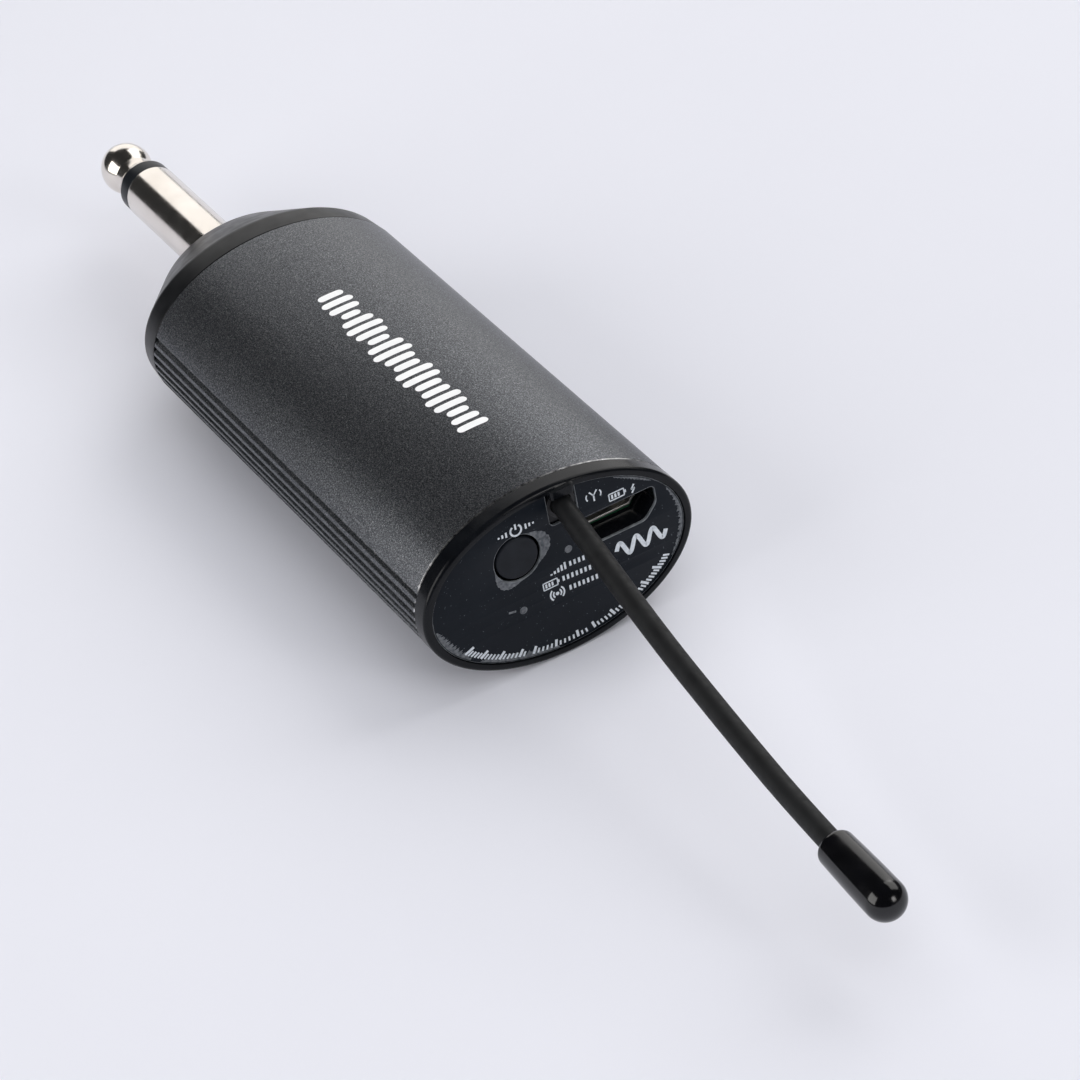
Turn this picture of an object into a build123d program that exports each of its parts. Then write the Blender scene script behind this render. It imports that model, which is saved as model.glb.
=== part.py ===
"""Plug-in wireless guitar transmitter: an oval aluminium tube with a 6.35 mm plug on its nose,
a control face at its rear and a whip antenna.

Millimetres. The origin is the centre of the plug's shoulder. +X runs from the plug to the antenna,
+Y to the right of the rear face and +Z up, across the thin way of the oval.
"""
import os
from math import cos, radians, sin, sqrt

from build123d import *

# ---------------------------------------------------------------- driving dimensions
# Plug: a standard 6.35 mm two-pole plug, measured from its shoulder.
PLUG_R = 3.175
PLUG_LENGTH = 30.8
SLEEVE_END = -21.2
SLEEVE_CHAMFER = 0.12
RING_WIDTH = 1.9
BALL_R = 2.95
BALL_BACK = 2.7
BALL_FLAT_R = 0.6
BALL_NOSE = 1.5
BALL_JOIN = 1.9
SKIRT_R = 3.03
SKIRT_WIDTH = 0.6
SKIRT_TAPER = 0.15
NECK_R = 2.15
NECK_BACK = 1.9
ROD_R = 1.1
ROD_END = 13.2
CORE_TUBE_R = 1.9
CORE_TUBE_END = 11.6
SHOULDER_R = 5.0
SHOULDER_THICK = 1.3
SHOULDER_CHAMFER = 0.35
SHANK_R = 3.5
SHANK_END = 8.6
FIT_GAP = 0.05

# What holds the plug in the collar, and the lugs on it.
LUG_THICK = 0.4
LUG_MARGIN = 1.2
LUG_TAIL_HALF = 0.9
LUG_HOLE_R = 0.4
SLEEVE_LUG_REACH = 7.2
TIP_LUG_REACH = -4.2
TIP_LUG_BACK = 0.9
TIP_LUG_MARGIN = 1.0
TIP_LUG_HALF = 0.7
TIP_LUG_HOLE_R = 0.35
WASHER_R = 5.0
WASHER_THICK = 0.5
NUT_HALF_FLATS = 4.9
NUT_THICK = 2.0

# Oval tube: half width across Y, half height across Z.
TUBE_Y = 15.27
TUBE_Z = 9.9
TUBE_LENGTH = 59.5
TUBE_WALL = 1.5
GROOVE_COUNT = 7
GROOVE_PITCH = 1.0
GROOVE_WIDTH = 0.5
GROOVE_DEPTH = 0.38
RAIL_REACH = 1.3
RAIL_HEIGHT = 1.0
RAIL_GAP = 0.08

# Collar: the plastic nose between the plug and the tube.
NOSE_Y = 9.55
NOSE_Z = 6.83
BAND_Y = 14.95
BAND_Z = 9.8
CONE_LENGTH = 6.9
BAND_LENGTH = 3.0
COLLAR_WALL = 1.8
COLLAR_FLOOR = 2.3
NOSE_FILLET = 0.7
SPIGOT_LENGTH = 4.5
SPIGOT_WALL = 1.2
SPIGOT_GAP = 0.05

# Rear cap and the label plate on it.
RIM_Y = 15.3
RIM_Z = 9.95
RIM_SHADOW_GAP = 0.2
RIM_LENGTH = 2.0
RIM_STEP = 0.55
RIM_FILLET = 0.45
PLATE_Y = 14.35
PLATE_Z = 9.1
PLATE_GAP = 0.06
PLATE_SEAT = 0.55
PLATE_THICK = 0.35
PLATE_FILLET = 0.12
CAP_WALL = 2.85

# The hood on the rim over the antenna's root, and the plate's slot under it.
HOOD_REACH = 0.6
HOOD_HALF_WIDTH = 1.35
HOOD_LOW = 8.65
HOOD_HIGH = 9.55
HOOD_FILLET = 0.4
SLOT_HALF_WIDTH = 1.6
SLOT_LOW = 5.3

# Power button: its axis, its cap and its travel.
BUTTON_Y = -4.15
BUTTON_Z = 3.5
BUTTON_R = 2.35
BUTTON_HOLE_R = 2.6
BUTTON_FILLET = 0.25
BUTTON_FLANGE_R = 3.0
FLANGE_GAP = 0.1
FLANGE_THICK = 0.6
BUTTON_TRAVEL = 0.35
TRAVEL_SPARE = 0.15
PLUNGER_R = 1.2
PLUNGER_LENGTH = 1.7
SWITCH_DEPTH = 3.4
SWITCH_HALF_WIDTH = 3.0
SWITCH_ABOVE = 2.2

# Charging socket: a micro-B opening, wider at its top.
SOCKET_Y = 7.35
SOCKET_Z = 2.75
OPENING_WIDTH = 8.5
OPENING_HEIGHT = 3.5
OPENING_CHAMFER = 1.5
OPENING_FILLET = 0.55
SHELL_WIDTH = 7.5
SHELL_HEIGHT = 2.8
SHELL_CHAMFER = 1.05
SHELL_LENGTH = 5.4
SHELL_WALL = 0.25
SHELL_RECESS = 3.0
SHELL_BACK_WALL = 0.8
TONGUE_HALF_WIDTH = 1.75
TONGUE_HALF_THICK = 0.3
TONGUE_RECESS = 0.7
TONGUE_ABOVE = 0.35

# Antenna: the whip's route, its sleeve, its core and the cap on its end.
WHIP_R = 1.13
WHIP_CORE_R = 0.45
WHIP_ROUTE = [(72.6, 1.55, 7.3), (90.0, -0.05, 4.45), (107.0, -0.85, 1.75), (121.0, -1.6, 0.4)]
WHIP_TIP = (134.1, -2.0, -0.1)
TIP_CAP_R = 2.08
TIP_CAP_BACK_R = 1.92
TIP_CAP_LENGTH = 8.7
TIP_CAP_LIP = 0.5
GROMMET_R = 1.6
GROMMET_NECK_R = 0.95
ROOT_GAP = 0.07
FEED_BACK = 1.4
FEED_BEND = 3.0
FEED_STRAIGHT = 6.5
FEED_END = 12.5

# Board, battery and what stands on the board.
BOARD_TOP = 1.3
BOARD_THICK = 1.0
BOARD_HALF_WIDTH = 13.1
BATTERY_LENGTH = 38.0
BATTERY_HALF_WIDTH = 7.9
BATTERY_THICK = 5.4
BATTERY_FILLET = 1.1
BATTERY_SETBACK = 2.0
PAD_THICK = 0.6
PAD_MARGIN = 4.0
PAD_HALF_WIDTH = 6.0
SHIELD_SETBACK = 6.0
SHIELD_LENGTH = 15.0
SHIELD_HALF_WIDTH = 8.0
SHIELD_HEIGHT = 2.2
SHIELD_WALL = 0.2
SHIELD_FILLET = 0.8
CHIPS_SETBACK = 24.0
INDICATOR_R = 0.5
INDICATOR_LEDGE = 0.2
INDICATOR_SUNK = 0.1
SCREW_Y = 10.4
SCREW_Z = 4.2
SCREW_CHANNEL_R = 1.9
SCREW_R = 0.95
SCREW_LENGTH = 7.0
SCREW_HEAD_R = 1.6
SCREW_HEAD_THICK = 0.9
SCREW_SUNK = 0.05
LEAD_R = 0.4

# ---------------------------------------------------------------- places that follow from them
TIP_END = -PLUG_LENGTH
RING_START = SLEEVE_END - RING_WIDTH
BALL_X = TIP_END + BALL_BACK
NOSE_X = SHOULDER_THICK
CONE_END = NOSE_X + CONE_LENGTH
TUBE_START = CONE_END + BAND_LENGTH
TUBE_END = TUBE_START + TUBE_LENGTH
RIM_START = TUBE_END + RIM_SHADOW_GAP
RIM_END = RIM_START + RIM_LENGTH
SEAT_X = RIM_END - PLATE_SEAT
PLATE_X = SEAT_X + PLATE_THICK
WALL_X = SEAT_X - CAP_WALL
BOARD_BOTTOM = BOARD_TOP - BOARD_THICK
BOARD_START = TUBE_START + 12.0
BOARD_END = WALL_X - 0.1
BATTERY_START = BOARD_START + BATTERY_SETBACK
BATTERY_TOP = BOARD_BOTTOM - PAD_THICK
SHELL_FRONT = PLATE_X - SHELL_RECESS
LUG_X = NOSE_X + COLLAR_FLOOR
WASHER_X = LUG_X + LUG_THICK
NUT_X = WASHER_X + WASHER_THICK
FLANGE_X = WALL_X - FLANGE_GAP - FLANGE_THICK
PLUNGER_X = FLANGE_X - PLUNGER_LENGTH
INNER_Y = TUBE_Y - TUBE_WALL
INNER_Z = TUBE_Z - TUBE_WALL
SPIGOT_Y = INNER_Y - SPIGOT_GAP
SPIGOT_Z = INNER_Z - SPIGOT_GAP
SCREW_PLACES = [(-SCREW_Y, SCREW_Z), (SCREW_Y, -SCREW_Z)]


# ---------------------------------------------------------------- building blocks
def section(x):
    """The plane across the body at x, with local axes Y and Z."""
    return Plane.YZ.offset(x)


def prism(x0, x1, sketch):
    """A sketch in Y and Z, carried from x0 to x1."""
    return extrude(section(x0) * sketch, amount=x1 - x0, dir=(1, 0, 0))


def oval(x0, x1, half_y, half_z):
    return prism(x0, x1, Ellipse(half_y, half_z))


def rod(x0, x1, radius, y=0.0, z=0.0):
    return prism(x0, x1, Pos(y, z) * Circle(radius))


def block(x0, x1, y0, y1, z0, z1):
    middle = Pos((x0 + x1) / 2, (y0 + y1) / 2, (z0 + z1) / 2)
    return middle * Box(x1 - x0, y1 - y0, z1 - z0)


def oval_taper(x0, size0, x1, size1):
    """A cone between two ovals, each given by its half width and half height."""
    start = section(x0) * Ellipse(*size0)
    end = section(x1) * Ellipse(*size1)
    return loft([start.face(), end.face()])


def turned(outline):
    """A closed outline in X and radius, turned about the X axis."""
    return revolve(make_face(outline), axis=Axis.X)


def whip_path():
    """The whip's centre line: long straight runs joined by wide tangent arcs."""
    points = [Vector(*p) for p in WHIP_ROUTE + [WHIP_TIP]]
    radii = []
    for before, corner, after in zip(points, points[1:], points[2:]):
        run_in = corner - before
        run_out = after - corner
        half_turn = radians(run_in.get_angle(run_out)) / 2
        shorter = min(run_in.length, run_out.length)
        radii.append(0.45 * shorter * cos(half_turn) / sin(half_turn))
    return FilletPolyline(*points, radius=radii)


def whip_tube(radius):
    path = whip_path()
    start = Plane(origin=path @ 0, z_dir=path % 0)
    return sweep(start * Circle(radius), path=path)


def socket_outline(width, height, chamfer):
    """A micro-B outline: square at its top, with its two lower corners cut off."""
    half = width / 2
    return Polygon(
        (-half, height / 2),
        (half, height / 2),
        (half, chamfer - height / 2),
        (half - chamfer, -height / 2),
        (chamfer - half, -height / 2),
        (-half, chamfer - height / 2),
        align=None,
    )


# ---------------------------------------------------------------- tube
def groove_cutters():
    """The grooves along both narrow sides of the tube."""
    cutters = []
    for step in range(GROOVE_COUNT):
        z = (step - (GROOVE_COUNT - 1) / 2) * GROOVE_PITCH
        surface_y = TUBE_Y * sqrt(1 - (z / TUBE_Z) ** 2)
        for side in (-1, 1):
            y = side * (surface_y + GROOVE_WIDTH / 2 - GROOVE_DEPTH)
            cutters.append(Pos(y, z) * SlotCenterToCenter(GROOVE_WIDTH, GROOVE_WIDTH))
    return cutters


def board_rails():
    """The two pairs of rails that hold the board's edges."""
    rails = []
    for side in (-1, 1):
        y = side * (INNER_Y - RAIL_REACH / 2 + 0.3)
        above = BOARD_TOP + RAIL_HEIGHT / 2 + RAIL_GAP
        below = BOARD_BOTTOM - RAIL_HEIGHT / 2 - RAIL_GAP
        for z in (above, below):
            rails.append(Pos(y, z) * Rectangle(RAIL_REACH + 0.6, RAIL_HEIGHT))
    return rails


def housing_tube():
    profile = Ellipse(TUBE_Y, TUBE_Z)
    for cutter in groove_cutters():
        profile -= cutter
    bore = Ellipse(INNER_Y, INNER_Z)
    for rail in board_rails():
        bore -= rail
    for y, z in SCREW_PLACES:
        bore -= Pos(y, z) * Circle(SCREW_CHANNEL_R)
        bore += Pos(y, z) * Circle(SCREW_R)
    return prism(TUBE_START, TUBE_END, profile - bore)


# ---------------------------------------------------------------- plug and collar
def spigot(x0, x1):
    """A thin oval ring that fits in the tube's bore, cut away at the rails and screw channels."""
    ring = Ellipse(SPIGOT_Y, SPIGOT_Z) - Ellipse(SPIGOT_Y - SPIGOT_WALL, SPIGOT_Z - SPIGOT_WALL)
    rail_room = Rectangle(2 * TUBE_Y, 2 * RAIL_HEIGHT + BOARD_THICK + 0.6)
    ring -= Pos(0, (BOARD_TOP + BOARD_BOTTOM) / 2) * rail_room
    for y, z in SCREW_PLACES:
        ring -= Pos(y, z) * Circle(SCREW_CHANNEL_R + 0.1)
    return prism(x0, x1, ring)


def front_collar():
    nose = oval_taper(NOSE_X, (NOSE_Y, NOSE_Z), CONE_END, (BAND_Y, BAND_Z))
    band = oval_taper(CONE_END, (BAND_Y, BAND_Z), TUBE_START, (TUBE_Y, TUBE_Z))
    inner_end = (TUBE_Y - TUBE_WALL - SPIGOT_WALL, TUBE_Z - TUBE_WALL - SPIGOT_WALL)
    inner_start = (NOSE_Y - COLLAR_WALL, NOSE_Z - COLLAR_WALL)
    hollow = oval_taper(NOSE_X + COLLAR_FLOOR, inner_start, TUBE_START, inner_end)
    shank_hole = rod(NOSE_X, NOSE_X + COLLAR_FLOOR, SHANK_R + FIT_GAP)
    collar = nose + band - hollow - shank_hole
    front_edge = collar.edges().filter_by(GeomType.ELLIPSE).sort_by(Axis.X)[0]
    collar = fillet(front_edge, NOSE_FILLET)
    return collar + spigot(TUBE_START, TUBE_START + SPIGOT_LENGTH)


def plug_sleeve():
    """The plug's outer contact, with its shoulder and the shank that goes through the collar."""
    barrel = rod(SLEEVE_END, 0, PLUG_R)
    shoulder = rod(0, SHOULDER_THICK, SHOULDER_R)
    shank = rod(SHOULDER_THICK, SHANK_END, SHANK_R)
    shoulder = chamfer(shoulder.edges().sort_by(Axis.X)[0], SHOULDER_CHAMFER)
    barrel = chamfer(barrel.edges().sort_by(Axis.X)[0], SLEEVE_CHAMFER)
    bore = rod(SLEEVE_END, SHANK_END, CORE_TUBE_R + FIT_GAP)
    return barrel + shoulder + shank - bore


def plug_ring_insulator():
    """The black ring between the plug's two contacts."""
    return rod(RING_START, SLEEVE_END, PLUG_R) - rod(RING_START, SLEEVE_END, ROD_R + FIT_GAP)


def plug_core_insulator():
    """The insulating tube inside the sleeve."""
    return rod(SLEEVE_END, CORE_TUBE_END, CORE_TUBE_R) - rod(SLEEVE_END, CORE_TUBE_END, ROD_R + FIT_GAP)


def plug_tip():
    """The ball contact and the rod behind it, turned in one piece."""
    flat_edge = (TIP_END, BALL_FLAT_R)
    nose_r = sqrt(BALL_R ** 2 - BALL_NOSE ** 2)
    nose = (BALL_X - BALL_NOSE, nose_r)
    ball_back = (BALL_X + BALL_JOIN, sqrt(BALL_R ** 2 - BALL_JOIN ** 2))
    neck = (RING_START - NECK_BACK, NECK_R)
    skirt = (RING_START - SKIRT_WIDTH, SKIRT_R - SKIRT_TAPER)
    corners = [skirt, (RING_START, SKIRT_R), (RING_START, ROD_R), (ROD_END, ROD_R), (ROD_END, 0),
               (TIP_END, 0), flat_edge]
    outline = [
        Spline(flat_edge, nose, tangents=[(0.15, 1), (nose_r, BALL_NOSE)]),
        ThreePointArc(nose, (BALL_X, BALL_R), ball_back),
        ThreePointArc(ball_back, neck, skirt),
    ]
    return turned(Wire(outline + Polyline(*corners).edges()))


def solder_lug(x, inner, margin, reach, half_width, hole_r):
    """A thin ring with a tail along Y that ends in a small hole for the lead."""
    end = x + LUG_THICK
    hole_y = reach - half_width if reach > 0 else reach + half_width
    lug = rod(x, end, inner + margin)
    lug += block(x, end, min(0, reach), max(0, reach), -half_width, half_width)
    lug -= rod(x, end, inner)
    return lug - rod(x, end, hole_r, hole_y, 0)


def plug_sleeve_lug():
    """The sleeve's lug, clamped under the washer."""
    return solder_lug(LUG_X, SHANK_R + FIT_GAP, LUG_MARGIN, SLEEVE_LUG_REACH, LUG_TAIL_HALF, LUG_HOLE_R)


def plug_lock_washer():
    return rod(WASHER_X, NUT_X, WASHER_R) - rod(WASHER_X, NUT_X, SHANK_R + FIT_GAP)


def plug_nut():
    hexagon = RegularPolygon(NUT_HALF_FLATS, 6, major_radius=False)
    return prism(NUT_X, NUT_X + NUT_THICK, hexagon - Circle(SHANK_R + FIT_GAP))


def plug_tip_lug():
    """The tip's lug, pressed on the end of its rod."""
    start = ROD_END - TIP_LUG_BACK
    return solder_lug(start, ROD_R + 0.02, TIP_LUG_MARGIN, TIP_LUG_REACH, TIP_LUG_HALF, TIP_LUG_HOLE_R)


# ---------------------------------------------------------------- rear cap, label plate and button
def opening_cutter(x0, x1):
    """The charging opening, right through from x0 to x1."""
    outline = socket_outline(OPENING_WIDTH, OPENING_HEIGHT, OPENING_CHAMFER)
    outline = fillet(outline.vertices(), OPENING_FILLET)
    return prism(x0, x1, Pos(SOCKET_Y, SOCKET_Z) * outline)


def shell_prism(x0, x1, grow):
    """The socket shell's outline, grown by a gap or shrunk by its wall."""
    outline = socket_outline(SHELL_WIDTH + 2 * grow, SHELL_HEIGHT + 2 * grow, SHELL_CHAMFER + 0.6 * grow)
    return prism(x0, x1, Pos(SOCKET_Y, BOARD_TOP + SHELL_HEIGHT / 2) * outline)


def indicator_places():
    """The three indicator windows, one above the other right of the button."""
    return {
        "channel_indicator": (4.4, -0.6),
        "power_indicator": (4.9, -1.9),
        "signal_indicator": (5.4, -3.2),
    }


def rear_cap():
    rim = oval(RIM_START, RIM_END, RIM_Y, RIM_Z)
    rim = fillet(rim.edges().sort_by(Axis.X)[-1], RIM_FILLET)
    neck = oval(TUBE_END, RIM_START, TUBE_Y - RIM_STEP, TUBE_Z - RIM_STEP)
    plug = oval(WALL_X, TUBE_END, SPIGOT_Y, SPIGOT_Z)
    recess = oval(SEAT_X, RIM_END, PLATE_Y + PLATE_GAP, PLATE_Z + PLATE_GAP)
    cap = rim + neck + plug - recess + antenna_hood()
    cap += spigot(WALL_X - SPIGOT_LENGTH, WALL_X)
    cap -= rod(WALL_X, RIM_END, BUTTON_HOLE_R, BUTTON_Y, BUTTON_Z)
    cap -= opening_cutter(WALL_X, SEAT_X)
    cap -= shell_prism(WALL_X - SPIGOT_LENGTH, SHELL_FRONT + FIT_GAP, FIT_GAP)
    cap -= grommet_outline(0.02)
    feed_y = WHIP_ROUTE[0][1]
    cap -= block(WALL_X - SPIGOT_LENGTH, WALL_X, feed_y - 3 * LEAD_R, feed_y + 3 * LEAD_R, SLOT_LOW, TUBE_Z)
    for y, z in indicator_places().values():
        cap -= rod(WALL_X, SEAT_X, INDICATOR_R + 0.02, y, z)
    for y, z in SCREW_PLACES:
        cap -= rod(WALL_X, SEAT_X, SCREW_R + 0.15, y, z)
        cap -= rod(SEAT_X - SCREW_HEAD_THICK - 0.1, SEAT_X, SCREW_HEAD_R + 0.1, y, z)
    return rail_slots(cap)


def rail_slots(cap):
    """Cuts the inside of the cap clear of the tube's rails and screw channels."""
    for side in (-1, 1):
        outer = side * TUBE_Y
        inner = side * (INNER_Y - RAIL_REACH - 0.1)
        low = BOARD_BOTTOM - RAIL_HEIGHT - 0.2
        high = BOARD_TOP + RAIL_HEIGHT + 0.2
        cap -= block(WALL_X, TUBE_END, min(inner, outer), max(inner, outer), low, high)
    for y, z in SCREW_PLACES:
        cap -= rod(WALL_X, TUBE_END, SCREW_CHANNEL_R + RAIL_GAP, y, z)
    return cap


def antenna_hood():
    """The tab on the rim that reaches down and out over the antenna's root."""
    y = WHIP_ROUTE[0][1]
    hood = block(SEAT_X, RIM_END + HOOD_REACH, y - HOOD_HALF_WIDTH, y + HOOD_HALF_WIDTH, HOOD_LOW, HOOD_HIGH)
    return fillet(hood.edges().filter_by(Axis.Z), HOOD_FILLET)


def label_plate():
    """The printed plate, with a slot for the antenna and holes for the button, port and indicators."""
    plate = oval(SEAT_X, PLATE_X, PLATE_Y, PLATE_Z)
    plate = fillet(plate.edges().sort_by(Axis.X)[-1], PLATE_FILLET)
    y = WHIP_ROUTE[0][1]
    plate -= block(SEAT_X, PLATE_X, y - SLOT_HALF_WIDTH, y + SLOT_HALF_WIDTH, SLOT_LOW, PLATE_Z + 1)
    plate -= rod(SEAT_X, PLATE_X, BUTTON_HOLE_R, BUTTON_Y, BUTTON_Z)
    plate -= opening_cutter(SEAT_X, PLATE_X)
    for window_y, window_z in indicator_places().values():
        plate -= rod(SEAT_X, PLATE_X, INDICATOR_R, window_y, window_z)
    return plate


def power_button():
    """The button's cap: a round key with a flange behind the wall that keeps it in."""
    flange_end = FLANGE_X + FLANGE_THICK
    key = rod(flange_end, PLATE_X, BUTTON_R, BUTTON_Y, BUTTON_Z)
    key = fillet(key.edges().sort_by(Axis.X)[-1], BUTTON_FILLET)
    return key + rod(FLANGE_X, flange_end, BUTTON_FLANGE_R, BUTTON_Y, BUTTON_Z)


def switch_plunger():
    return rod(PLUNGER_X, FLANGE_X, PLUNGER_R, BUTTON_Y, BUTTON_Z)


def switch_front():
    """The front of the switch's body, clear of the flange at the end of the button's travel."""
    return FLANGE_X - BUTTON_TRAVEL - TRAVEL_SPARE


def tact_switch():
    """The switch's body on the board, with a well for its plunger."""
    front = switch_front()
    y0 = BUTTON_Y - SWITCH_HALF_WIDTH
    y1 = BUTTON_Y + SWITCH_HALF_WIDTH
    body = block(front - SWITCH_DEPTH, front, y0, y1, BOARD_TOP, BUTTON_Z + SWITCH_ABOVE)
    well_x = PLUNGER_X - BUTTON_TRAVEL - TRAVEL_SPARE
    return body - rod(well_x, front, PLUNGER_R + FIT_GAP, BUTTON_Y, BUTTON_Z)


def indicator(name):
    """A light pipe through the rear wall, level with the label plate."""
    y, z = indicator_places()[name]
    ledge_end = WALL_X - 0.4
    lens = rod(ledge_end, PLATE_X - INDICATOR_SUNK, INDICATOR_R - 0.02, y, z)
    return lens + rod(ledge_end - 0.6, ledge_end, INDICATOR_R + INDICATOR_LEDGE, y, z)


def rear_cap_screws():
    """Two countersunk screws under the label plate."""
    head_x = SEAT_X - SCREW_HEAD_THICK
    screws = []
    for y, z in SCREW_PLACES:
        head = rod(head_x, SEAT_X - SCREW_SUNK, SCREW_HEAD_R, y, z)
        slot = block(head_x + SCREW_HEAD_THICK / 2, SEAT_X, y - 1.0, y + 1.0, z - 0.2, z + 0.2)
        shank = rod(WALL_X - SCREW_LENGTH, head_x, SCREW_R - FIT_GAP, y, z)
        screws.append(head + shank - slot)
    return Compound(screws)


# ---------------------------------------------------------------- antenna
def grommet_outline(gap):
    """The bush's outside: a narrow neck inside the tube and a wide head behind the whip."""
    x, y, z = WHIP_ROUTE[0]
    neck = rod(WALL_X, RIM_START, GROMMET_NECK_R + gap, y, z)
    return neck + rod(RIM_START, x - 0.05 + gap, GROMMET_R + gap, y, z)


def antenna_grommet():
    """The bush in the rear wall, with a round seat for the whip's root."""
    x, y, z = WHIP_ROUTE[0]
    bush = grommet_outline(0)
    bush -= rod(WALL_X, x, LEAD_R + 0.02, y, z)
    return bush - root_ball(WHIP_R + ROOT_GAP)


def antenna_feed():
    """The wire from the board to the back of the whip's root."""
    x, y, z = WHIP_ROUTE[0]
    points = [
        (x - FEED_BACK, y, z),
        (WALL_X - FEED_STRAIGHT, y, z),
        (WALL_X - FEED_END, y, BOARD_TOP + LEAD_R),
    ]
    return lead(points, FEED_BEND)


def root_ball(radius):
    return Pos(*WHIP_ROUTE[0]) * Sphere(radius)


def antenna_sleeve():
    """The rubber sleeve over the whip, with its rounded root."""
    bore_r = WHIP_CORE_R + 0.02
    return whip_tube(WHIP_R) + root_ball(WHIP_R) - whip_tube(bore_r) - root_ball(bore_r)


def antenna_core():
    return whip_tube(WHIP_CORE_R) + root_ball(WHIP_CORE_R)


def antenna_tip_cap():
    """The round-ended cap pushed over the end of the whip."""
    tip = Vector(*WHIP_TIP)
    along = (tip - Vector(*WHIP_ROUTE[-1])).normalized()
    back = Plane(origin=tip - along * TIP_CAP_LENGTH, z_dir=along)
    lip_start = (TIP_CAP_BACK_R - TIP_CAP_LIP, 0)
    lip_end = (TIP_CAP_BACK_R, TIP_CAP_LIP)
    dome_start = (TIP_CAP_R, TIP_CAP_LENGTH)
    dome_end = (0, TIP_CAP_LENGTH + TIP_CAP_R)
    outline = Wire([
        Line((0, 0), lip_start),
        RadiusArc(lip_start, lip_end, -TIP_CAP_LIP),
        Line(lip_end, dome_start),
        RadiusArc(dome_start, dome_end, -TIP_CAP_R),
        Line(dome_end, (0, 0)),
    ])
    cap = revolve(Plane.XZ * make_face(outline), axis=Axis.Z)
    bore = Cylinder(WHIP_R + 0.01, TIP_CAP_LENGTH + 0.02, align=(Align.CENTER, Align.CENTER, Align.MIN))
    return back.location * (cap - bore)


# ---------------------------------------------------------------- board, battery and leads
def main_board():
    """The board, notched at its rear corners and round the button's flange."""
    board = block(BOARD_START, BOARD_END, -BOARD_HALF_WIDTH, BOARD_HALF_WIDTH, BOARD_BOTTOM, BOARD_TOP)
    for side in (-1, 1):
        notch_y = side * BOARD_HALF_WIDTH
        board -= Pos(BOARD_END, notch_y, BOARD_TOP) * Cylinder(1.0, 4 * BOARD_THICK)
    flange_room = BUTTON_FLANGE_R + 0.2
    y0 = BUTTON_Y - flange_room
    y1 = BUTTON_Y + flange_room
    return board - block(switch_front(), BOARD_END, y0, y1, BOARD_BOTTOM, BOARD_TOP)


def usb_socket_shell():
    """The socket's pressed metal shell, open at the rear face."""
    back = SHELL_FRONT - SHELL_LENGTH
    return shell_prism(back, SHELL_FRONT, 0) - shell_prism(back + SHELL_BACK_WALL, SHELL_FRONT, -SHELL_WALL)


def usb_socket_tongue():
    back = SHELL_FRONT - SHELL_LENGTH + SHELL_BACK_WALL
    middle = BOARD_TOP + SHELL_HEIGHT / 2 + TONGUE_ABOVE
    y0 = SOCKET_Y - TONGUE_HALF_WIDTH
    y1 = SOCKET_Y + TONGUE_HALF_WIDTH
    z0 = middle - TONGUE_HALF_THICK
    z1 = middle + TONGUE_HALF_THICK
    return block(back, SHELL_FRONT - TONGUE_RECESS, y0, y1, z0, z1)


def rf_shield_can():
    """The pressed tin lid over the radio circuit."""
    start = BOARD_START + SHIELD_SETBACK
    end = start + SHIELD_LENGTH
    top = BOARD_TOP + SHIELD_HEIGHT
    can = block(start, end, -SHIELD_HALF_WIDTH, SHIELD_HALF_WIDTH, BOARD_TOP, top)
    can = fillet(can.edges().filter_by(Axis.Z), SHIELD_FILLET)
    inner = SHIELD_HALF_WIDTH - SHIELD_WALL
    return can - block(start + SHIELD_WALL, end - SHIELD_WALL, -inner, inner, BOARD_TOP, top - SHIELD_WALL)


def board_chips():
    """The audio, control and charging chips between the shield can and the rear wall."""
    first = BOARD_START + CHIPS_SETBACK
    chips = [
        block(first, first + 5, -9, -4, BOARD_TOP, BOARD_TOP + 1.0),
        block(first, first + 4, 0, 4, BOARD_TOP, BOARD_TOP + 0.9),
        block(first + 8, first + 11, -2, 1, BOARD_TOP, BOARD_TOP + 1.1),
        block(first + 1, first + 4.2, 7, 10.5, BOARD_TOP, BOARD_TOP + 1.4),
    ]
    return Compound(chips)


def battery_cell():
    """The pouch cell under the board."""
    end = BATTERY_START + BATTERY_LENGTH
    bottom = BATTERY_TOP - BATTERY_THICK
    cell = block(BATTERY_START, end, -BATTERY_HALF_WIDTH, BATTERY_HALF_WIDTH, bottom, BATTERY_TOP)
    return fillet(cell.edges().filter_by(Axis.X), BATTERY_FILLET)


def battery_pad():
    """The foam tape that holds the cell to the underside of the board."""
    start = BATTERY_START + PAD_MARGIN
    end = BATTERY_START + BATTERY_LENGTH - PAD_MARGIN
    return block(start, end, -PAD_HALF_WIDTH, PAD_HALF_WIDTH, BATTERY_TOP, BOARD_BOTTOM)


def lead(points, radius):
    route = FilletPolyline(*points, radius=radius)
    start = Plane(origin=route @ 0, z_dir=route % 0)
    return sweep(start * Circle(LEAD_R), path=route)


def battery_lead(y):
    """A lead from the front of the cell up to the front edge of the board."""
    turn = BATTERY_START - 4
    low = BATTERY_TOP - 1.2
    high = BOARD_TOP + LEAD_R
    return lead([
        (BATTERY_START, y, low),
        (turn, y, low),
        (turn, y, high),
        (BOARD_START + 1.5, y, high),
    ], 1.2)


def lug_lead(start_x, lug_y, turn_x, board_y):
    """A lead from a plug lug, straight at first and then up to the board's front edge."""
    high = BOARD_TOP + LEAD_R
    return lead([
        (start_x, lug_y, 0),
        (turn_x, lug_y, 0),
        (BOARD_START - 3, board_y, high),
        (BOARD_START + 2, board_y, high),
    ], 1.5)


def tip_lead():
    """The lead from the tip's lug to the board."""
    start_x = ROD_END - TIP_LUG_BACK + LUG_THICK
    return lug_lead(start_x, TIP_LUG_REACH + TIP_LUG_HALF, ROD_END + 4.5, -2.4)


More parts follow.
